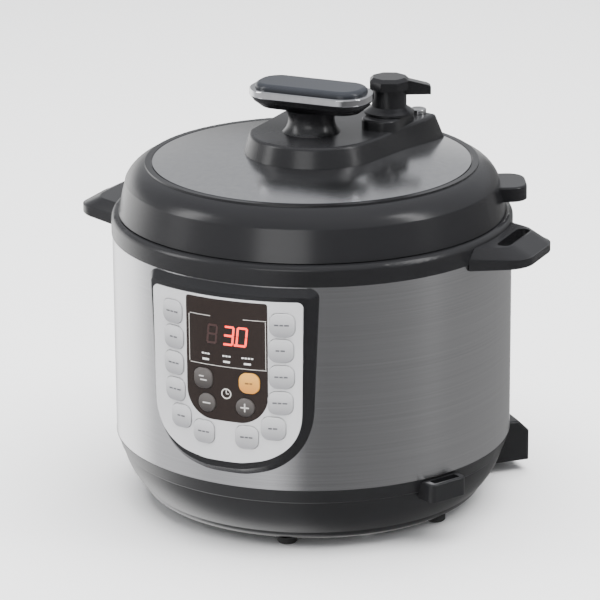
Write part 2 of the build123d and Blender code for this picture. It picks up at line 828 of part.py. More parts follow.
# ------------------------------------------------------------------ condensation cup
# Small clear cup that slides up out of a rail bracket on the back of the shell.
cup_half = 23.0
cup_wall = 1.5
rail_t = 1.4
rail_low = collar_z - 43.5
rail_top = collar_z - 3.0
bracket_face = body_r + 2.6
flange_out = cup_half + 2.0
flange_t = 1.7
cup_front = body_r + 12.0
cup_low = rail_low + 2.0 + seat_gap
cup_top = rail_top - 1.0
rail_face = bracket_face + move_gap + flange_t + move_gap
with BuildPart() as cup_bracket:
    with BuildSketch(Plane.XZ.offset(-body_r / 2)):
        with Locations((0, (rail_low + rail_top) / 2)):
            RectangleRounded(2 * (flange_out + move_gap + 3), rail_top - rail_low, 2)
    extrude(amount=-(bracket_face - body_r / 2))
    for side in (-1, 1):
        with BuildSketch(Plane.XY.offset(rail_low)):
            with BuildLine():
                Polyline(
                    (side * (flange_out + move_gap), bracket_face - 1),
                    (side * (flange_out + move_gap + 3), bracket_face - 1),
                    (side * (flange_out + move_gap + 3), rail_face + rail_t),
                    (side * (cup_half + move_gap), rail_face + rail_t),
                    (side * (cup_half + move_gap), rail_face),
                    (side * (flange_out + move_gap), rail_face),
                    close=True,
                )
            make_face()
        extrude(amount=rail_top - rail_low - 4)
    with BuildSketch(Plane.XY.offset(rail_low)):
        with Locations((0, bracket_face + 1.5)):
            Rectangle(2 * (flange_out + 1), 3.4)
    extrude(amount=2)
    add(sleeve(0, body_r + join_gap, rail_low - 5, rail_top + 5), mode=Mode.SUBTRACT)
save(cup_bracket, "cup_bracket")

with BuildPart() as condensation_cup:
    with BuildSketch(Plane.XY.offset(cup_low)):
        with Locations((0, (bracket_face + move_gap + cup_front) / 2)):
            Rectangle(2 * cup_half, cup_front - bracket_face - move_gap)
        with Locations((0, bracket_face + move_gap + flange_t / 2)):
            Rectangle(2 * flange_out, flange_t)
    extrude(amount=cup_top - cup_low)
    front_uprights = condensation_cup.edges().filter_by(Axis.Z).group_by(Axis.Y)[-1]
    fillet(front_uprights, 3.0)
    fillet(condensation_cup.edges().group_by(Axis.Z)[0].group_by(Axis.Y)[-1], 2.0)
    with BuildSketch(Plane.XY.offset(cup_low + cup_wall)):
        with Locations((0, (bracket_face + move_gap + cup_front) / 2)):
            RectangleRounded(2 * (cup_half - cup_wall), cup_front - bracket_face - move_gap - 2 * cup_wall, 1.5)
    extrude(amount=cup_top, mode=Mode.SUBTRACT)
save(condensation_cup, "condensation_cup")

# ------------------------------------------------------------------ parts under the vessel
# Power board with its parts on the cover's posts, pressure switch and thermal fuse.
board_z = base_z + cover_t + board_post_h + join_gap
with BuildPart() as power_board:
    with BuildSketch(Plane.XY.offset(board_z)):
        Rectangle(86, 60)
    extrude(amount=board_t)
    with BuildSketch(Plane.XY.offset(board_z + board_t)):
        with Locations((-24, 14), (-24, -10)):
            Rectangle(18, 15)
    extrude(amount=11)
    with BuildSketch(Plane.XY.offset(board_z + board_t)):
        with Locations((4, 16), (18, 16), (4, 2)):
            Circle(5)
    extrude(amount=13)
    with BuildSketch(Plane.XY.offset(board_z + board_t)):
        with Locations((24, -12)):
            Rectangle(24, 18)
    extrude(amount=9)
save(power_board, "power_board")

switch_place_r = pot_r * 0.55
with BuildPart() as pressure_switch:
    with BuildSketch(spoke(120).offset(floor_z - vessel_t - join_gap)):
        with Locations((switch_place_r, 0)):
            Rectangle(22, 16)
    extrude(amount=-3)
    with BuildSketch(spoke(120).offset(floor_z - vessel_t - join_gap - 3)):
        with Locations((switch_place_r, 0)):
            Rectangle(14, 10)
    extrude(amount=-6)
save(pressure_switch, "pressure_switch")

with BuildPart() as thermal_fuse:
    with BuildSketch(spoke(240).offset(floor_z - vessel_t - join_gap)):
        with Locations((switch_place_r, 0)):
            SlotOverall(24, 8)
    extrude(amount=-1.5)
    with BuildSketch(spoke(240).offset(floor_z - vessel_t - join_gap - 1.5)):
        with Locations((switch_place_r, 0)):
            Rectangle(14, 5)
    extrude(amount=-4)
save(thermal_fuse, "thermal_fuse")

# ------------------------------------------------------------------ lid: outer ring
# Black sloped ring with the index ear; its floor sits on the pressure lid's flange.
ring_skirt_t = 2.5
ring_floor_z = ring_z + 2.5
ring_floor_r = pot_r - 0.5
disc_edge_top = lip_z + 1.2
disc_t = 1.0
disc_ledge_z = disc_edge_top - disc_t - join_gap
groove_r = disc_r + 0.3
lip_t = 4.0
ear_heading = lock_turn
ear_w = 39.0
ear_r = body_r + 10.0
ear_corner = 12.0
ear_low = ring_z + 9.4
ear_top = ear_low + 7.4
ear_lip_h = 3.0
with BuildPart() as lid_ring:
    with BuildSketch(Plane.XZ):
        with BuildLine():
            band = Line((ring_r, ring_z), (crease_r, crease_z))
            shoulder = ThreePointArc(
                band @ 1,
                ((crease_r + lip_r) / 2 + 1.6, (crease_z + lip_z) / 2 + 1.4),
                (lip_r + 0.2, lip_z),
            )
            Polyline(
                shoulder @ 1,
                (lip_r, disc_edge_top),
                (groove_r + 0.8, disc_edge_top),
                (groove_r, disc_edge_top - 0.6),
                (groove_r, disc_ledge_z),
                (groove_r - 4.3, disc_ledge_z),
                (groove_r - 4.3, disc_ledge_z - ring_skirt_t),
                (lip_r - 1.8, disc_ledge_z - ring_skirt_t),
                (crease_r - 2.4, crease_z - 1.1),
                (ring_r - 3.2, ring_floor_z + ring_skirt_t),
                (ring_floor_r, ring_floor_z + ring_skirt_t),
                (ring_floor_r, ring_floor_z),
                (ring_r - ring_skirt_t, ring_floor_z),
                (ring_r - ring_skirt_t, ring_z),
                (ring_r, ring_z),
            )
        make_face()
    revolve(axis=Axis.Z)
    crease = lid_ring.edges().filter_by(GeomType.CIRCLE)
    fillet(crease.filter_by(lambda e: abs(e.center().Z - crease_z) < 0.01 and e.radius > crease_r - 0.1), 2.0)
    with BuildPart(mode=Mode.PRIVATE) as ear:
        with BuildSketch(spoke(ear_heading).offset(ear_low - ear_lip_h)):
            with BuildLine():
                Polyline(
                    (crease_r - 1.0, -ear_w / 2),
                    (ear_r, -ear_w / 2),
                    (ear_r, ear_w / 2),
                    (crease_r - 1.0, ear_w / 2),
                    close=True,
                )
            make_face()
        extrude(amount=ear_top - ear_low + ear_lip_h)
        corners = ear.edges().filter_by(Axis.Z).sort_by(lambda e: -hypot(e.center().X, e.center().Y))
        fillet(corners[0:2], ear_corner)
        fillet(ear.faces().sort_by(Axis.Z)[-1].edges(), 1.5)
        with BuildSketch(spoke(ear_heading).offset(ear_low - ear_lip_h)):
            with Locations(((ring_r + ear_r - 4) / 2 + 1, 0)):
                RectangleRounded(ear_r - 4 - ring_r - 2, ear_w - 8, 4)
        extrude(amount=ear_top - ear_low, mode=Mode.SUBTRACT)
        add(sleeve(0, crease_r - 1.2, ear_low - 10, ear_top + 10), mode=Mode.SUBTRACT)
    add(ear.part)
save(lid_ring, "lid_ring")

# ------------------------------------------------------------------ lid: pressure lid
# Pressed steel lid with teeth under the vessel's lugs and a post under the steel disc.
lid_flange_top = ring_floor_z - join_gap
lid_flange_t = 2.5
neck_r = pot_r - 2.0
dome_h = 13.0
post_r = 8.0
crown_h = 8.0
disc_crown = disc_edge_top + crown_h
valve_x = 41.0
valve_y = 41.0
pipe_r = 4.0
float_x = 49.0
float_y = 74.0
float_stem_r = 2.2
bolt_r = 3.0
lid_holes = (
    (0.0, 0.0, bolt_r + join_gap),
    (valve_x, valve_y, pipe_r + join_gap),
    (float_x, float_y, float_stem_r + move_gap),
)
with BuildPart() as pressure_lid:
    revolve(
        section(
            (0, lid_flange_top + dome_h),
            (pot_r * 0.55, lid_flange_top + dome_h - 1),
            (neck_r - 4, lid_flange_top + 2.5),
            (neck_r, lid_flange_top),
            (neck_r + 6, lid_flange_top),
            (neck_r + 6, lid_flange_top - lid_flange_t),
            (neck_r, lid_flange_top - lid_flange_t),
            (neck_r, tooth_top - 1.4),
            (pot_rim_r - 0.5, tooth_top - 1.4),
            (pot_rim_r - 0.5, tooth_top - tooth_t),
            (neck_r - lid_flange_t, tooth_top - tooth_t),
            (neck_r - lid_flange_t, lid_flange_top - 3),
            (neck_r - 5, lid_flange_top),
            (pot_r * 0.55, lid_flange_top + dome_h - 3.5),
            (0, lid_flange_top + dome_h - 2.5),
        ),
        axis=Axis.Z,
    )
    add(teeth(neck_r + 1, tooth_r, tooth_angle, 180 / lug_count, tooth_top - tooth_t, tooth_t))
    with BuildSketch(Plane.XY.offset(lid_flange_top + dome_h - 1)):
        Circle(post_r)
    extrude(amount=disc_crown - disc_t - join_gap - lid_flange_top - dome_h + 1)
    for hole_x, hole_y, hole_r in lid_holes:
        with BuildSketch(Plane.XY.offset(lid_flange_top - 5)):
            with Locations((hole_x, hole_y)):
                Circle(hole_r)
        extrude(amount=60, mode=Mode.SUBTRACT)
save(pressure_lid, "pressure_lid")

# Rubber sealing ring and the wire rack that keeps it round.
with BuildPart() as sealing_ring:
    add(sleeve(pot_r - 4, pot_rim_r, seal_top - seal_h, seal_top))
    with BuildSketch(Plane.XY.offset(seal_top - seal_h - 1)):
        Circle(pot_r + 3.5)
        Circle(pot_r - 1, mode=Mode.SUBTRACT)
    extrude(amount=3.5, mode=Mode.SUBTRACT)
save(sealing_ring, "sealing_ring")

with BuildPart() as seal_rack:
    add(sleeve(pot_r - 13, pot_r - 4 - join_gap, seal_top - 4.5, seal_top - 3))
save(seal_rack, "seal_rack")

# ------------------------------------------------------------------ lid: steel disc and top bracket
# Slightly domed steel disc, and the long black moulding that carries grip and valves.
def dome(height, thickness):
    """Outline of the steel disc's arc, lifted by a height."""
    with BuildSketch(Plane.XZ) as outline:
        with BuildLine():
            top = ThreePointArc(
                (0, disc_crown + height),
                (disc_r / 2, disc_edge_top + crown_h * 0.75 + height),
                (disc_r, disc_edge_top + height),
            )
            edge = Line(top @ 1, (disc_r, disc_edge_top + height - thickness))
            low = ThreePointArc(
                edge @ 1,
                (disc_r / 2, disc_edge_top + crown_h * 0.75 + height - thickness),
                (0, disc_crown + height - thickness),
            )
            Line(low @ 1, top @ 0)
        make_face()
    return outline.sketch


with BuildPart() as lid_disc:
    revolve(dome(0, disc_t), axis=Axis.Z)
    for hole_x, hole_y, hole_r in lid_holes:
        with BuildSketch(Plane.XY.offset(disc_edge_top - 5)):
            with Locations((hole_x, hole_y)):
                Circle(hole_r)
        extrude(amount=30, mode=Mode.SUBTRACT)
save(lid_disc, "lid_disc")

bracket_top = disc_crown + 12.3
bracket_low = disc_edge_top
bracket_wall = 3.0
pedestal_h = 7.3
pedestal_top = bracket_top + pedestal_h


def bracket_outline(height, left, nose_y, sides, rear_mid_y, rear_y, inset):
    """Plan of the top bracket: round nose in front, waisted right side, arched rear end."""
    right = [(x - inset, y) for x, y in sides]
    right[-1] = (right[-1][0], right[-1][1] - inset)
    with BuildSketch(Plane.XY.offset(height)) as outline:
        with BuildLine():
            Spline(*right)
            ThreePointArc(right[-1], (8, rear_mid_y - inset), (left + inset, rear_y - inset))
            Line((left + inset, rear_y - inset), (left + inset, -12))
            ThreePointArc((left + inset, -12), (2, nose_y + inset), right[0])
        make_face()
    return outline.sketch


bracket_low_sides = ((52.5, -10.0), (55.6, 10.0), (59.6, 35.0), (62.0, 55.0), (62.5, 90.0))
bracket_high_sides = ((46.5, -10.0), (50.5, 10.0), (53.0, 33.0), (58.5, 55.0), (60.5, 77.0))


def bracket_body(inset, top):
    """Tapered body of the bracket between the disc and its flat top."""
    with BuildPart() as body:
        loft(
            [
                bracket_outline(bracket_low, -47.5, -51.5, bracket_low_sides, 100.5, 97.0, inset),
                bracket_outline(top, -41.0, -46.0, bracket_high_sides, 84.0, 80.0, inset),
            ],
            ruled=True,
        )
        revolve(dome(join_gap, 20), axis=Axis.Z, mode=Mode.SUBTRACT)
    return body.part


with BuildPart() as lid_bracket:
    add(bracket_body(0, bracket_top))
    ridge = lid_bracket.faces().sort_by(Axis.Z)[-1].edges()
    fillet(ridge, 2.5)
    add(bracket_body(bracket_wall, bracket_top - bracket_wall), mode=Mode.SUBTRACT)
    with BuildSketch(Plane.XY.offset(bracket_top - 1)):
        with Locations((valve_x - 0.5, valve_y - 1)):
            RectangleRounded(26, 48, 10)
    extrude(amount=pedestal_h + 1)
    fillet(lid_bracket.faces().sort_by(Axis.Z)[-1].edges(), 1.5)
    # post round the bolt that presses on the disc
    with BuildSketch(Plane.XY.offset(disc_crown + join_gap)):
        Circle(9)
    extrude(amount=bracket_top - disc_crown - 1)
    for hole_x, hole_y, hole_r in lid_holes:
        with BuildSketch(Plane.XY.offset(disc_edge_top)):
            with Locations((hole_x, hole_y)):
                Circle(hole_r)
        extrude(amount=60, mode=Mode.SUBTRACT)
save(lid_bracket, "lid_bracket")

# ------------------------------------------------------------------ lid: T-shaped grip
# Waisted stem, boat-shaped grip, bright trim frame and a domed cap over the bolt's head.
stem_r = 16.25
stem_foot = bracket_top + join_gap
grip_low = bracket_top + 16.5
grip_top = bracket_top + 24.5
trim_h = 5.4
grip_half_x = 44.5
grip_half_y = 21.5
grip_corner = 19.0
trim_w = 4.0
cap_rise = 4.0
bolt_head_r = 5.0
bolt_head_h = 4.0


def grip_outline(height, inset, corner):
    """Plan of the grip, shrunk by an inset."""
    with BuildSketch(Plane.XY.offset(height)) as outline:
        RectangleRounded(2 * (grip_half_x - inset), 2 * (grip_half_y - inset), corner)
    return outline.sketch


with BuildPart() as handle_stem:
    with BuildSketch(Plane.XZ):
        with BuildLine():
            foot = Line((bolt_r + join_gap, stem_foot), (stem_r + 4, stem_foot))
            waist = ThreePointArc(
                foot @ 1,
                (stem_r, (stem_foot + grip_low) / 2),
                (stem_r + 2, grip_low - join_gap),
            )
            Polyline(waist @ 1, (bolt_r + join_gap, grip_low - join_gap), foot @ 0)
        make_face()
    revolve(axis=Axis.Z)
save(handle_stem, "handle_stem")

with BuildPart() as handle_grip:
    loft([grip_outline(grip_low, 8.0, 13.0), grip_outline(grip_low + 4.5, 2.6, 17.5)], ruled=True)
    loft([grip_outline(grip_low + 4.5, 2.6, 17.5), grip_outline(grip_top, 0.6, 18.4)], ruled=True)
    with BuildSketch(Plane.XY.offset(grip_top)):
        Circle(bolt_head_r + 0.5)
    extrude(amount=-bolt_head_h, mode=Mode.SUBTRACT)
    with BuildSketch(Plane.XY.offset(grip_low - 1)):
        Circle(bolt_r + join_gap)
    extrude(amount=grip_top, mode=Mode.SUBTRACT)
save(handle_grip, "handle_grip")

trim_z = grip_top + join_gap
with BuildPart() as grip_trim:
    add(grip_outline(trim_z, 0, grip_corner))
    extrude(amount=trim_h)
    fillet(grip_trim.faces().sort_by(Axis.Z)[-1].edges(), 1.2)
    fillet(grip_trim.faces().sort_by(Axis.Z)[0].edges(), 0.8)
    add(grip_outline(trim_z - 1, trim_w, grip_corner - trim_w))
    extrude(amount=trim_h + 2, mode=Mode.SUBTRACT)
save(grip_trim, "grip_trim")

with BuildPart() as grip_cap:
    add(grip_outline(trim_z, trim_w + join_gap, grip_corner - trim_w - join_gap))
    extrude(amount=trim_h + cap_rise)
    fillet(grip_cap.faces().sort_by(Axis.Z)[-1].edges(), cap_rise - 0.3)
save(grip_cap, "grip_cap")

with BuildPart() as handle_bolt:
    add(sleeve(0, bolt_head_r, grip_top - bolt_head_h + join_gap, grip_top - 0.2))
    add(sleeve(0, bolt_r, lid_flange_top + 5, grip_top - bolt_head_h + 1))
    with BuildSketch(Plane.XY.offset(grip_top - 2)):
        RegularPolygon(2.6, 6)
    extrude(amount=3, mode=Mode.SUBTRACT)
save(handle_bolt, "handle_bolt")

# ------------------------------------------------------------------ lid: valves
# Exhaust pipe with its clog shield, the turning pressure valve and the float valve.
valve_axis = Pos(valve_x, valve_y, 0)
knob_flange_r = 17.5
knob_r = 12.2
knob_bore_r = pipe_r + move_gap
knob_z = pedestal_top + seat_gap
head_low = knob_z + 17.8
head_r = 14.6
head_h = 5.8
knob_top = head_low + head_h + 2.5
lever_heading = 28.0
lever_reach = 29.0
lever_w = 8.5
pipe_top = head_low - 4.0
shield_r = 12.0
shield_low = lid_flange_top - 1.0
shield_top = lid_flange_top + 6.5
with BuildPart() as exhaust_pipe:
    with BuildSketch(Plane.XY.offset(shield_low + 3)):
        with Locations((valve_x, valve_y)):
            Circle(pipe_r)
    extrude(amount=pipe_top - shield_low - 3)
    with BuildSketch(Plane.XY.offset(lid_flange_top + dome_h + 1.5)):
        with Locations((valve_x, valve_y)):
            RegularPolygon(7, 6)
    extrude(amount=4)
    chamfer(exhaust_pipe.faces().sort_by(Axis.Z)[-1].edges(), 1.2)
    with BuildSketch(Plane.XY.offset(shield_low)):
        with Locations((valve_x, valve_y)):
            Circle(1.8)
    extrude(amount=pipe_top, mode=Mode.SUBTRACT)
save(exhaust_pipe, "exhaust_pipe")

with BuildPart() as anti_block_shield:
    with BuildSketch(Plane.XY.offset(shield_low)):
        with Locations((valve_x, valve_y)):
            Circle(shield_r)
    extrude(amount=shield_top - shield_low)
    with BuildSketch(Plane.XY.offset(shield_low + 1.2)):
        with Locations((valve_x, valve_y)):
            Circle(shield_r - 1.2)
    extrude(amount=shield_top - shield_low - 2.4, mode=Mode.SUBTRACT)
    with BuildSketch(Plane.XY.offset(shield_low + 1.2)):
        with Locations((valve_x, valve_y)):
            with PolarLocations(shield_r, 8):
                Circle(1.6)
    extrude(amount=4, mode=Mode.SUBTRACT)
    with BuildSketch(Plane.XY.offset(shield_low + 2)):
        with Locations((valve_x, valve_y)):
            Circle(pipe_r + join_gap)
    extrude(amount=20, mode=Mode.SUBTRACT)
save(anti_block_shield, "anti_block_shield")

with BuildPart() as valve_knob:
    with BuildSketch(Plane.XZ):
        with BuildLine():
            Polyline(
                (knob_bore_r, knob_z),
                (knob_flange_r, knob_z),
                (knob_flange_r, knob_z + 1.6),
                (knob_r + 1.6, knob_z + 4.0),
                (knob_r, knob_z + 5.2),
                (knob_r, head_low + 1),
                (0, head_low + 1),
                (0, pipe_top + move_gap),
                (knob_bore_r, pipe_top + move_gap),
                close=True,
            )
        make_face()
    revolve(axis=Axis.Z)
    with BuildSketch(Plane.XY.offset(head_low)):
        RegularPolygon(head_r, 8)
    extrude(amount=head_h + 2.5)
    chamfer(valve_knob.faces().sort_by(Axis.Z)[-1].edges(), 2.4)
    extrude(
        section(
            (0, head_low - 4.3),
            (lever_reach, head_low - 4.3),
            (lever_reach, head_low + 1.2),
            (lever_reach - 2, head_low + 2.4),
            (head_r - 2, head_low + head_h + 0.4),
            (0, head_low + head_h + 0.4),
            plane=upright(lever_heading),
        ),
        amount=lever_w / 2,
        both=True,
    )
    with BuildSketch(Plane.XY.offset(knob_z - 1)):
        Circle(knob_bore_r)
    extrude(amount=pipe_top + move_gap - knob_z + 1, mode=Mode.SUBTRACT)
valve_knob.part.position = (valve_x, valve_y, 0)
save(valve_knob, "valve_knob")

float_travel = 3.0
float_head_r = 5.8
float_head_z = bracket_top + seat_gap
float_low = lid_flange_top - 4.0
with BuildPart() as float_valve:
    with BuildSketch(Plane.XY.offset(float_head_z)):
        with Locations((float_x, float_y)):
            Circle(float_head_r)
    extrude(amount=3.4)
    fillet(float_valve.faces().sort_by(Axis.Z)[-1].edges(), 1.2)
    with BuildSketch(Plane.XY.offset(float_head_z + 2.4)):
        with Locations((float_x, float_y)):
            Rectangle(8, 1.4, rotation=20)
    extrude(amount=3, mode=Mode.SUBTRACT)
    with BuildSketch(Plane.XY.offset(float_low)):
        with Locations((float_x, float_y)):
            Circle(float_stem_r)
    extrude(amount=float_head_z - float_low + 1)
    with BuildSketch(Plane.XY.offset(float_low)):
        with Locations((float_x, float_y)):
            Circle(4.5)
    extrude(amount=2.4)
save(float_valve, "float_valve")
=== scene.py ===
from math import atan2, cos, radians, sin, sqrt

import bpy
from mathutils import Matrix, Vector


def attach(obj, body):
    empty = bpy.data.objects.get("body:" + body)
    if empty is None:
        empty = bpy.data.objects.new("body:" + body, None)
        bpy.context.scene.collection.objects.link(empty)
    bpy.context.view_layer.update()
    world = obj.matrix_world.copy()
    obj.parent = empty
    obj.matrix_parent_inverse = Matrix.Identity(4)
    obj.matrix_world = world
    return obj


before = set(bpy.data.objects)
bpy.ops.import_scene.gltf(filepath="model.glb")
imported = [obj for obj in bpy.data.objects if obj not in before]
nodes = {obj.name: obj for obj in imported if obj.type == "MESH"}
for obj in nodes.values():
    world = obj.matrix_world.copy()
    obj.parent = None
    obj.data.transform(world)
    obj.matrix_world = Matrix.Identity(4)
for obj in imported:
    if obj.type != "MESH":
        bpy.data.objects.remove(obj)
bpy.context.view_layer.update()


# Camera: a long lens a little above the cooker, seen from its front right.
right = Vector((0.90631, 0.42262, 0.0))
up = Vector((-0.1293, 0.2772, 0.9521))
back = Vector((0.40236, -0.86287, 0.30586))
roll = radians(-0.41)
side = right * cos(roll) + up * sin(roll)
above = up * cos(roll) - right * sin(roll)
camera_data = bpy.data.cameras.new("camera")
camera_data.lens = 212.45
camera_data.sensor_width = 36.0
camera_data.clip_end = 50.0
camera = bpy.data.objects.new("camera", camera_data)
bpy.context.collection.objects.link(camera)
turn = Matrix((side, above, back)).transposed()
camera.matrix_world = Matrix.Translation((0.9979, -2.1609, 0.9046)) @ turn.to_4x4()
bpy.context.scene.camera = camera


# Studio: a pale table top, a ceiling softbox, a key from the left, a strip on the right, a front fill.
# The room's walls are broad pale and grey cards, so that polished metal has something to show.
for thing in bpy.context.selected_objects:
    thing.select_set(False)
bpy.ops.mesh.primitive_plane_add(size=9.0, location=(0, 0, -0.0002))
table = bpy.context.object
table.name = "table_top"
table_paint = bpy.data.materials.new("table_paint")
table_paint.use_nodes = True
paint = table_paint.node_tree.nodes["Principled BSDF"]
paint.inputs["Base Color"].default_value = (0.93, 0.93, 0.93, 1)
paint.inputs["Roughness"].default_value = 0.9
paint.inputs["Specular IOR Level"].default_value = 0.1
table.data.materials.append(table_paint)
table.visible_glossy = False

room = bpy.data.worlds.new("room")
bpy.context.scene.world = room
room.use_nodes = True
tree = room.node_tree
tree.nodes.clear()
out = tree.nodes.new("ShaderNodeOutputWorld")
look = tree.nodes.new("ShaderNodeTexCoord")
aim = tree.nodes.new("ShaderNodeMapping")
aim.vector_type = "TEXTURE"
aim.inputs["Rotation"].default_value = (0, 0, radians(-65))
tree.links.new(look.outputs["Generated"], aim.inputs["Vector"])
round_room = tree.nodes.new("ShaderNodeTexGradient")
round_room.gradient_type = "RADIAL"
tree.links.new(aim.outputs["Vector"], round_room.inputs["Vector"])
cards = tree.nodes.new("ShaderNodeValToRGB")
tree.links.new(round_room.outputs["Color"], cards.inputs["Fac"])
# each card: degrees round from the camera, grey level, blue tint
card_list = (
    (-180, 0.06, 1.00), (-173, 0.30, 1.00), (-155, 0.95, 1.00), (-128, 0.85, 1.00),
    (-104, 0.30, 1.02), (-60, 0.22, 1.02), (-24, 0.26, 1.02), (-6, 0.05, 1.02), (13, 0.05, 1.02),
    (30, 0.26, 1.00), (46, 0.98, 1.00), (58, 0.90, 1.00), (74, 0.24, 1.04), (98, 0.11, 1.10),
    (122, 0.26, 1.04), (146, 0.42, 1.00), (168, 0.12, 1.00),
)
stops = cards.color_ramp.elements
while len(stops) > 1:
    stops.remove(stops[-1])
for index, (degrees_round, level, tint) in enumerate(card_list):
    stop = stops[0] if index == 0 else stops.new(0.5)
    stop.position = (degrees_round + 180) / 360
    stop.color = (level, level, level * tint, 1)
ceiling = tree.nodes.new("ShaderNodeValToRGB")
ceiling.color_ramp.elements[0].position = 0.05
ceiling.color_ramp.elements[1].position = 0.28
height = tree.nodes.new("ShaderNodeSeparateXYZ")
tree.links.new(look.outputs["Generated"], height.inputs["Vector"])
tree.links.new(height.outputs["Z"], ceiling.inputs["Fac"])
blend = tree.nodes.new("ShaderNodeMix")
blend.data_type = "RGBA"
tree.links.new(ceiling.outputs["Color"], blend.inputs["Factor"])
tree.links.new(cards.outputs["Color"], blend.inputs["A"])
blend.inputs["B"].default_value = (0.20, 0.203, 0.21, 1)
lit = tree.nodes.new("ShaderNodeBackground")
lit.inputs["Strength"].default_value = 2.6
tree.links.new(blend.outputs["Result"], lit.inputs["Color"])
plain = tree.nodes.new("ShaderNodeBackground")
plain.inputs["Color"].default_value = (1, 1, 1, 1)
plain.inputs["Strength"].default_value = 3.5
path = tree.nodes.new("ShaderNodeLightPath")
choose = tree.nodes.new("ShaderNodeMixShader")
tree.links.new(path.outputs["Is Camera Ray"], choose.inputs["Fac"])
tree.links.new(lit.outputs["Background"], choose.inputs[1])
tree.links.new(plain.outputs["Background"], choose.inputs[2])
tree.links.new(choose.outputs["Shader"], out.inputs["Surface"])


def softbox(name, place, aim_at, wide, tall, watts, mirrored=True):
    """A rectangular studio lamp pointed at a spot; some are not mirrored in polished faces."""
    lamp = bpy.data.lights.new(name, "AREA")
    lamp.shape = "RECTANGLE"
    lamp.size = wide
    lamp.size_y = tall
    lamp.energy = watts
    stand = bpy.data.objects.new(name, lamp)
    bpy.context.collection.objects.link(stand)
    stand.location = place
    stand.rotation_euler = (Vector(aim_at) - Vector(place)).to_track_quat("-Z", "Y").to_euler()
    stand.visible_glossy = mirrored


softbox("ceiling_softbox", (0.1, 0.1, 2.4), (0, 0, 0.1), 3.2, 3.2, 260, mirrored=False)
softbox("left_key", (-1.5, -0.9, 1.0), (0, 0, 0.15), 0.5, 1.2, 9)
softbox("right_strip", (1.3, 0.1, 1.0), (0, 0, 0.2), 0.18, 1.1, 5)
softbox("front_fill", (0.3, -2.2, 0.7), (0, 0, 0.15), 1.2, 0.6, 5)


# Base and other black body mouldings: polypropylene with a fine spark-eroded texture.
# The base is one bowl-shaped moulding; collar, handles, socket and inlet are fixed to it or the shell.
def moulded(name, colour, rough, grain, depth):
    """Moulded plastic: fine surface grain, faint sheen changes and slightly uneven colour."""
    plastic = bpy.data.materials.new(name)
    plastic.use_nodes = True
    parts = plastic.node_tree.nodes
    wires = plastic.node_tree.links
    shader = parts["Principled BSDF"]
    where = parts.new("ShaderNodeTexCoord")
    fine = parts.new("ShaderNodeTexNoise")
    fine.inputs["Scale"].default_value = grain
    fine.inputs["Detail"].default_value = 3.0
    broad = parts.new("ShaderNodeTexNoise")
    broad.inputs["Scale"].default_value = 9.0
    broad.inputs["Detail"].default_value = 2.0
    wires.new(where.outputs["Object"], fine.inputs["Vector"])
    wires.new(where.outputs["Object"], broad.inputs["Vector"])
    tone = parts.new("ShaderNodeValToRGB")
    tone.color_ramp.elements[0].color = [c * 0.85 for c in colour] + [1]
    tone.color_ramp.elements[1].color = [c * 1.15 for c in colour] + [1]
    wires.new(broad.outputs["Fac"], tone.inputs["Fac"])
    wires.new(tone.outputs["Color"], shader.inputs["Base Color"])
    sheen = parts.new("ShaderNodeMapRange")
    sheen.inputs["To Min"].default_value = rough - 0.04
    sheen.inputs["To Max"].default_value = rough + 0.05
    wires.new(broad.outputs["Fac"], sheen.inputs["Value"])
    wires.new(sheen.outputs["Result"], shader.inputs["Roughness"])
    bump = parts.new("ShaderNodeBump")
    bump.inputs["Strength"].default_value = depth
    bump.inputs["Distance"].default_value = 0.0002
    wires.new(fine.outputs["Fac"], bump.inputs["Height"])
    wires.new(bump.outputs["Normal"], shader.inputs["Normal"])
    return plastic


def finish_node(name, material):
    """Gives a CAD node one material all over."""
    slots = nodes[name].data.materials
    if len(slots) == 0:
        slots.append(material)
    for index in range(len(slots)):
        slots[index] = material


body_black = moulded("body_black", (0.012, 0.012, 0.013), 0.30, 1400.0, 0.25)
for name in ("base_housing", "accessory_socket", "inlet_housing", "cup_bracket"):
    finish_node(name, body_black)
collar_black = moulded("collar_black", (0.011, 0.011, 0.012), 0.24, 1500.0, 0.15)
for name in ("upper_collar", "left_handle", "right_handle"):
    finish_node(name, collar_black)
under_black = moulded("under_black", (0.016, 0.016, 0.016), 0.55, 900.0, 0.4)
finish_node("bottom_cover", under_black)


# Feet: four moulded rubber discs pushed into the base.
foot_rubber = moulded("foot_rubber", (0.02, 0.02, 0.02), 0.8, 700.0, 0.5)
finish_node("feet", foot_rubber)


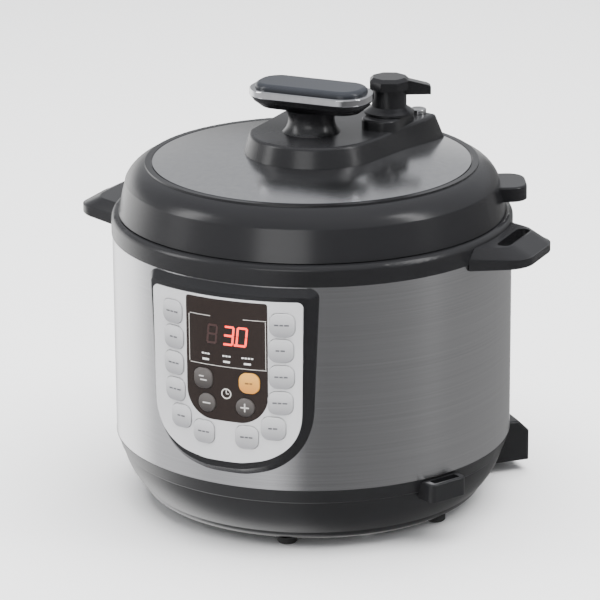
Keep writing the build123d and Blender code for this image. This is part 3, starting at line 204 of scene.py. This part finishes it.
# Screws, bolt, spring and small hidden metal parts: zinc-plated steel.
def metal(name, colour, rough, scale_round, scale_up, depth, stretch=0.0):
    """Metal with fine lines; the lines run round the Z axis when scale_up is the larger."""
    sheet = bpy.data.materials.new(name)
    sheet.use_nodes = True
    parts = sheet.node_tree.nodes
    wires = sheet.node_tree.links
    shader = parts["Principled BSDF"]
    shader.inputs["Metallic"].default_value = 1.0
    where = parts.new("ShaderNodeTexCoord")
    scaled = parts.new("ShaderNodeMapping")
    scaled.inputs["Scale"].default_value = (scale_round, scale_round, scale_up)
    lines = parts.new("ShaderNodeTexNoise")
    lines.inputs["Scale"].default_value = 1.0
    lines.inputs["Detail"].default_value = 4.0
    wires.new(where.outputs["Object"], scaled.inputs["Vector"])
    wires.new(scaled.outputs["Vector"], lines.inputs["Vector"])
    tone = parts.new("ShaderNodeValToRGB")
    tone.color_ramp.elements[0].position = 0.3
    tone.color_ramp.elements[1].position = 0.7
    tone.color_ramp.elements[0].color = [c * 0.95 for c in colour] + [1]
    tone.color_ramp.elements[1].color = [min(1, c * 1.03) for c in colour] + [1]
    wires.new(lines.outputs["Fac"], tone.inputs["Fac"])
    wires.new(tone.outputs["Color"], shader.inputs["Base Color"])
    sheen = parts.new("ShaderNodeMapRange")
    sheen.inputs["To Min"].default_value = rough - 0.03
    sheen.inputs["To Max"].default_value = rough + 0.03
    wires.new(lines.outputs["Fac"], sheen.inputs["Value"])
    wires.new(sheen.outputs["Result"], shader.inputs["Roughness"])
    bump = parts.new("ShaderNodeBump")
    bump.inputs["Strength"].default_value = depth
    bump.inputs["Distance"].default_value = 0.0001
    wires.new(lines.outputs["Fac"], bump.inputs["Height"])
    wires.new(bump.outputs["Normal"], shader.inputs["Normal"])
    if stretch > 0:
        shader.inputs["Anisotropic"].default_value = stretch
        shader.inputs["Anisotropic Rotation"].default_value = 0.25
        hoop = parts.new("ShaderNodeTangent")
        hoop.direction_type = "RADIAL"
        hoop.axis = "Z"
        wires.new(hoop.outputs["Tangent"], shader.inputs["Tangent"])
    return sheet


zinc_steel = metal("zinc_steel", (0.55, 0.55, 0.56), 0.35, 300.0, 300.0, 0.1)
for name in (
    "base_screws", "handle_screws", "board_screws", "handle_bolt", "sensor_spring",
    "pressure_switch", "thermal_fuse",
):
    finish_node(name, zinc_steel)


# Shell: one stainless sheet rolled round the body, brushed round its girth, so that
# what it mirrors is drawn out into upright bands.
shell_steel = metal("shell_steel", (0.78, 0.78, 0.79), 0.24, 5.0, 1600.0, 0.01, stretch=0.8)
finish_node("outer_shell", shell_steel)


# Pots and heating parts: drawn stainless pot, spun aluminium vessel and plate.
pot_steel = metal("pot_steel", (0.70, 0.70, 0.71), 0.22, 20.0, 900.0, 0.05)
for name in ("inner_pot", "pressure_lid", "seal_rack", "anti_block_shield", "exhaust_pipe"):
    finish_node(name, pot_steel)
spun_aluminium = metal("spun_aluminium", (0.66, 0.66, 0.67), 0.38, 25.0, 600.0, 0.12)
for name in ("outer_pot", "heating_plate", "thermal_sensor_cap"):
    finish_node(name, spun_aluminium)
pin_brass = metal("pin_brass", (0.72, 0.60, 0.36), 0.25, 300.0, 300.0, 0.1)
finish_node("inlet_pins", pin_brass)


# Boards: green laminate with its parts.
laminate = moulded("laminate", (0.02, 0.12, 0.05), 0.45, 500.0, 0.3)
for name in ("power_board", "control_board"):
    finish_node(name, laminate)


# Sealing ring: pale silicone pressed under the lid's rim.
silicone = moulded("silicone", (0.68, 0.68, 0.65), 0.5, 600.0, 0.2)
finish_node("sealing_ring", silicone)


# Condensation cup: clear moulded plastic hung on its bracket.
cup_clear = bpy.data.materials.new("cup_clear")
cup_clear.use_nodes = True
cup_shader = cup_clear.node_tree.nodes["Principled BSDF"]
cup_shader.inputs["Base Color"].default_value = (0.80, 0.82, 0.84, 1)
cup_shader.inputs["Transmission Weight"].default_value = 0.85
cup_shader.inputs["IOR"].default_value = 1.45
cup_where = cup_clear.node_tree.nodes.new("ShaderNodeTexCoord")
cup_mist = cup_clear.node_tree.nodes.new("ShaderNodeTexNoise")
cup_mist.inputs["Scale"].default_value = 60.0
cup_range = cup_clear.node_tree.nodes.new("ShaderNodeMapRange")
cup_range.inputs["To Min"].default_value = 0.12
cup_range.inputs["To Max"].default_value = 0.28
cup_clear.node_tree.links.new(cup_where.outputs["Object"], cup_mist.inputs["Vector"])
cup_clear.node_tree.links.new(cup_mist.outputs["Fac"], cup_range.inputs["Value"])
cup_clear.node_tree.links.new(cup_range.outputs["Result"], cup_shader.inputs["Roughness"])
finish_node("condensation_cup", cup_clear)


# Panel bezel: glossy black moulding with sloped edges, clipped into the shell's window.
bezel_black = moulded("bezel_black", (0.010, 0.010, 0.011), 0.16, 1800.0, 0.06)
finish_node("panel_bezel", bezel_black)


# Key plate: pale printed film on the bezel's floor.
plate_film = moulded("plate_film", (0.56, 0.56, 0.57), 0.30, 1500.0, 0.08)
finish_node("panel_overlay", plate_film)


# Dark centre of the panel: smoked gloss sheet over the display.
smoked = moulded("smoked", (0.016, 0.010, 0.008), 0.10, 1500.0, 0.02)
finish_node("display_window", smoked)
finish_node("display_module", moulded("module_black", (0.02, 0.02, 0.02), 0.5, 800.0, 0.2))


# Keys: silver-grey painted caps, three dark ones and one orange, each with painted shade that makes it darker
# at its lower edge and lighter towards the top.
def key_paint(name, low, high, rough):
    """Key colour with painted shade: it grows lighter from a key's lower to its upper edge."""
    colour_and_shade = moulded(name, high, rough, 1800.0, 0.08)
    parts = colour_and_shade.node_tree.nodes
    wires = colour_and_shade.node_tree.links
    where = parts.new("ShaderNodeTexCoord")
    split = parts.new("ShaderNodeSeparateXYZ")
    # Painted shade: the low colour sits at the key's lower edge, the high colour at its top.
    shade = parts.new("ShaderNodeValToRGB")
    shade.color_ramp.elements[0].color = list(low) + [1]
    shade.color_ramp.elements[1].color = list(high) + [1]
    shade.color_ramp.elements[0].position = 0.05
    shade.color_ramp.elements[1].position = 0.85
    wires.new(where.outputs["Generated"], split.inputs["Vector"])
    wires.new(split.outputs["Z"], shade.inputs["Fac"])
    wires.new(shade.outputs["Color"], parts["Principled BSDF"].inputs["Base Color"])
    return colour_and_shade


key_silver = key_paint("key_silver", (0.27, 0.27, 0.28), (0.52, 0.52, 0.53), 0.34)
side_names = ["key_" + edge + "_" + str(number) for edge in ("left", "right") for number in range(1, 7)]
for name in side_names:
    finish_node(name, key_silver)
key_brown = key_paint("key_brown", (0.035, 0.030, 0.028), (0.10, 0.09, 0.085), 0.32)
for name in ("key_timer", "key_minus", "key_plus"):
    finish_node(name, key_brown)
key_amber = key_paint("key_amber", (0.62, 0.24, 0.03), (0.86, 0.42, 0.07), 0.32)
finish_node("key_start", key_amber)


# Print on the panel: a thin line round the display, red digits behind the smoked sheet,
# small white lamps, a clock mark, and short dashes on the keys. Ink lies 0.1 mm proud.
def ink(name, colour, glow=0.0):
    """Screen-printed ink or, with a glow, a lit display segment."""
    print_ink = moulded(name, colour, 0.4, 2500.0, 0.02)
    shader = print_ink.node_tree.nodes["Principled BSDF"]
    if glow > 0:
        shader.inputs["Emission Color"].default_value = (*colour, 1)
        shader.inputs["Emission Strength"].default_value = glow
    return print_ink


def deselect():
    """Nothing stays selected before a new piece is made."""
    if bpy.context.object and bpy.context.object.mode != "OBJECT":
        bpy.ops.object.mode_set(mode="OBJECT")
    bpy.ops.object.select_all(action="DESELECT")


def dash(x, z, wide, tall, radius, lean=0.0, thick=0.00012, soften=0.25):
    """One short bar lying on the panel's curve, its ends a little rounded."""
    swing = atan2(x, sqrt(radius * radius - x * x))
    bpy.ops.mesh.primitive_cube_add(size=1, location=(x, -sqrt(radius * radius - x * x), z))
    bar = bpy.context.object
    bar.scale = (wide, thick, tall)
    bar.rotation_euler = (Matrix.Rotation(swing, 3, "Z") @ Matrix.Rotation(lean, 3, "Y")).to_euler()
    bpy.ops.object.transform_apply(location=False, rotation=False, scale=True)
    bpy.ops.object.mode_set(mode="EDIT")
    bpy.ops.mesh.select_all(action="SELECT")
    bpy.ops.mesh.bevel(offset=min(wide, tall) * soften, segments=1, affect="EDGES", clamp_overlap=True)
    bpy.ops.object.mode_set(mode="OBJECT")
    bar.select_set(False)
    return bar


def hoop(x, z, outer, inner, radius, thick=0.00012):
    """A flat ring of ink lying on the panel's curve."""
    depth = sqrt(radius * radius - x * x)
    swing = atan2(x, depth)
    bpy.ops.mesh.primitive_circle_add(vertices=40, radius=outer, location=(x, -depth, z))
    ring = bpy.context.object
    ring.rotation_euler = (Matrix.Rotation(swing, 3, "Z") @ Matrix.Rotation(radians(90), 3, "X")).to_euler()
    bpy.ops.object.mode_set(mode="EDIT")
    bpy.ops.mesh.select_all(action="SELECT")
    bpy.ops.mesh.extrude_region_move()
    bpy.ops.transform.resize(value=(inner / outer,) * 3)
    bpy.ops.object.mode_set(mode="OBJECT")
    wall = ring.modifiers.new("wall", "SOLIDIFY")
    wall.thickness = thick
    wall.offset = 0
    bpy.ops.object.modifier_apply(modifier="wall")
    ring.select_set(False)
    return ring


def one_piece(name, pieces, material, body):
    """Joins marks into one piece, with its place in its mesh."""
    deselect()
    for piece in pieces:
        piece.select_set(True)
    bpy.context.view_layer.objects.active = pieces[0]
    bpy.ops.object.join()
    bpy.ops.object.transform_apply(location=True, rotation=True, scale=True)
    bpy.ops.object.mode_set(mode="EDIT")
    bpy.ops.mesh.select_all(action="SELECT")
    bpy.ops.mesh.normals_make_consistent(inside=False)
    bpy.ops.object.mode_set(mode="OBJECT")
    joined = bpy.context.object
    joined.name = name
    joined.data.name = name
    joined.data.materials.clear()
    joined.data.materials.append(material)
    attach(joined, body)
    joined.select_set(False)
    return joined


window_face = 0.14735
deselect()
line_pieces = []
for level in (0.1366, 0.1712):
    for step in range(14):
        x = -0.0216 + step * 0.00400
        if 3 < step < 10 and level > 0.15:
            continue
        line_pieces.append(dash(x, level, 0.0040, 0.00045, window_face, soften=0.05))
for x in (-0.0242, 0.0318):
    line_pieces.append(dash(x, 0.1539, 0.00045, 0.0332, window_face, soften=0.05))
one_piece("display_line", line_pieces, ink("line_ink", (0.55, 0.53, 0.50)), "cooker_body")

digit_h = 0.0124
digit_w = 0.0064
stroke = 0.0015
digit_parts = {
    "top": (0, digit_h / 2, digit_w, stroke),
    "middle": (0, 0, digit_w, stroke),
    "bottom": (0, -digit_h / 2, digit_w, stroke),
    "top_left": (-digit_w / 2, digit_h / 4, stroke, digit_h / 2 - 0.0004),
    "low_left": (-digit_w / 2, -digit_h / 4, stroke, digit_h / 2 - 0.0004),
    "top_right": (digit_w / 2, digit_h / 4, stroke, digit_h / 2 - 0.0004),
    "low_right": (digit_w / 2, -digit_h / 4, stroke, digit_h / 2 - 0.0004),
}


def digit(centre_x, centre_z, lit_parts):
    """The named bars of one seven-bar digit, leaning a little to the right."""
    bars = []
    for part_name in lit_parts:
        dx, dz, wide, tall = digit_parts[part_name]
        lean = 0.10 if tall > wide else 0.0
        bars.append(dash(centre_x + dx + dz * 0.10, centre_z + dz, wide, tall, window_face, lean, soften=0.3))
    return bars


three = digit(0.0060, 0.1588, ("top", "middle", "bottom", "top_right", "low_right"))
nought = digit(0.0154, 0.1588, ("top", "bottom", "top_left", "low_left", "top_right", "low_right"))
point = [dash(0.0106, 0.1526, 0.0016, 0.0016, window_face)]
red_glow = ink("red_glow", (1.0, 0.05, 0.03), 2.2)
one_piece("lit_digits", three + nought + point, red_glow, "cooker_body")
unlit = digit(-0.0062, 0.1588, tuple(digit_parts))
one_piece("unlit_digit", unlit, ink("dim_red", (0.05, 0.022, 0.02)), "cooker_body")
lamps = [dash(x, 0.1402, 0.0050, 0.0014, window_face) for x in (-0.0114, 0.0043, 0.0192)]
legend = []
for x, count in ((-0.0114, 3), (0.0043, 3), (0.0192, 4)):
    for step in range(count):
        legend.append(dash(x + (step - (count - 1) / 2) * 0.0022, 0.1442, 0.0016, 0.0011, window_face))
one_piece("lamp_marks", lamps + legend, ink("white_ink", (0.75, 0.75, 0.74)), "cooker_body")
clock = [
    hoop(0.0038, 0.1176, 0.0037, 0.0029, window_face),
    dash(0.0038, 0.1188, 0.0007, 0.0024, window_face),
    dash(0.0046, 0.1176, 0.0018, 0.0007, window_face),
]
one_piece("clock_mark", clock, ink("clock_ink", (0.62, 0.60, 0.57)), "cooker_body")

key_face = 0.14837
mid_x = 0.0023
top_z = 0.193
side_places = (
    (0.0404, 0.0239), (0.0395, 0.0418), (0.0398, 0.0603),
    (0.0389, 0.0788), (0.0341, 0.0971), (0.0159, 0.1048),
)
mark_widths = ((0.0030, 0.0024, 0.0032), (0.0026, 0.0030), (0.0028, 0.0022, 0.0026))
mark_space = 0.0006
dark_ink = ink("dark_ink", (0.10, 0.10, 0.11))
for edge, sign in (("left", -1), ("right", 1)):
    for number, (off_x, drop) in enumerate(side_places):
        x = mid_x + sign * off_x
        z = top_z - drop
        marks = []
        widths = mark_widths[number % 3]
        start = -(sum(widths) + mark_space * (len(widths) - 1)) / 2
        for wide in widths:
            marks.append(dash(x + start + wide / 2, z + 0.0002, wide, 0.0011, key_face))
            start += wide + mark_space
        key_name = "key_" + edge + "_" + str(number + 1)
        one_piece(key_name + "_mark", marks, dark_ink, key_name)
sign_ink = ink("sign_ink", (0.60, 0.58, 0.56))
minus = [dash(-0.0108, 0.1094, 0.0060, 0.0009, key_face)]
one_piece("key_minus_mark", minus, sign_ink, "key_minus")
plus = [dash(0.0174, 0.1094, 0.0060, 0.0009, key_face), dash(0.0174, 0.1094, 0.0009, 0.0060, key_face)]
one_piece("key_plus_mark", plus, sign_ink, "key_plus")
timer_marks = [
    dash(-0.0146, 0.1280, 0.0036, 0.0009, key_face),
    dash(-0.0130, 0.1254, 0.0050, 0.0009, key_face),
]
one_piece("key_timer_mark", timer_marks, sign_ink, "key_timer")
start_marks = [dash(0.0190, 0.1268, 0.0026, 0.0011, key_face), dash(0.0219, 0.1268, 0.0020, 0.0011, key_face)]
one_piece("key_start_mark", start_marks, ink("brown_ink", (0.20, 0.09, 0.02)), "key_start")


# Lid: glossy black ring and bracket, satin steel disc, chrome trim round a slate cap.
lid_black = moulded("lid_black", (0.010, 0.010, 0.011), 0.22, 1500.0, 0.10)
for name in ("lid_ring", "valve_knob"):
    finish_node(name, lid_black)
top_black = moulded("top_black", (0.012, 0.012, 0.013), 0.26, 1500.0, 0.10)
for name in ("lid_bracket", "handle_stem", "handle_grip"):
    finish_node(name, top_black)
disc_steel = metal("disc_steel", (0.74, 0.74, 0.75), 0.20, 260.0, 260.0, 0.02)
finish_node("lid_disc", disc_steel)
trim_chrome = metal("trim_chrome", (0.80, 0.80, 0.82), 0.09, 200.0, 200.0, 0.01)
finish_node("grip_trim", trim_chrome)
cap_slate = moulded("cap_slate", (0.020, 0.022, 0.027), 0.28, 1500.0, 0.10)
finish_node("grip_cap", cap_slate)
finish_node("float_valve", metal("float_steel", (0.75, 0.75, 0.76), 0.16, 200.0, 200.0, 0.02))
